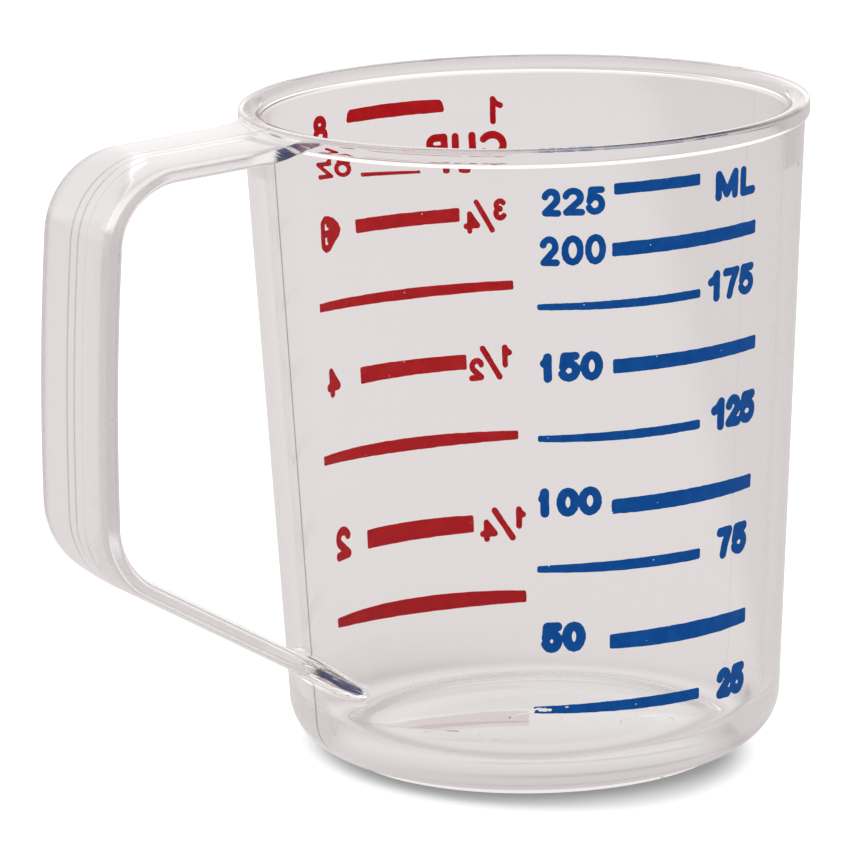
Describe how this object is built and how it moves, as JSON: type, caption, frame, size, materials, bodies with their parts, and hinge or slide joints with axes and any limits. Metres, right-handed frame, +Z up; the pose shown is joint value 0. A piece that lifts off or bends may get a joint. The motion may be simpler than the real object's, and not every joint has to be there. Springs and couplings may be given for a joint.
{
  "type": "measuring cup",
  "caption": "Clear tapered measuring cup with a beaded rim, a strap handle and printed millilitre and ounce scales, for measuring out liquids.",
  "frame": {"origin": "middle of the flat underside, on the cup's own axis", "axes": "+Z up through the mouth, -X out along the handle, -Y the side with the millilitre scale, +Y the side with the ounce scale"},
  "size_m": [0.1001, 0.0716, 0.083],
  "materials": {
    "clear_plastic": "clear, glossy, injection moulded",
    "blue_ink": "screen printed, satin",
    "red_ink": "screen printed, satin"
  },
  "bodies": {
    "root": {"cup_base": "clear_plastic", "cup_wall": "clear_plastic", "rim_bead": "clear_plastic", "handle_upper_arm": "clear_plastic", "handle_grip": "clear_plastic", "handle_lower_arm": "clear_plastic", "millilitre_line_25": "blue_ink", "millilitre_line_50": "blue_ink", "millilitre_line_75": "blue_ink", "millilitre_line_100": "blue_ink", "millilitre_line_125": "blue_ink", "millilitre_line_150": "blue_ink", "millilitre_line_175": "blue_ink", "millilitre_line_200": "blue_ink", "millilitre_line_225": "blue_ink", "ounce_line_1": "red_ink", "ounce_line_2": "red_ink", "ounce_line_3": "red_ink", "ounce_line_4": "red_ink", "ounce_line_5": "red_ink", "ounce_line_6": "red_ink", "ounce_line_7": "red_ink", "ounce_line_8": "red_ink"}
  },
  "joints": []
}
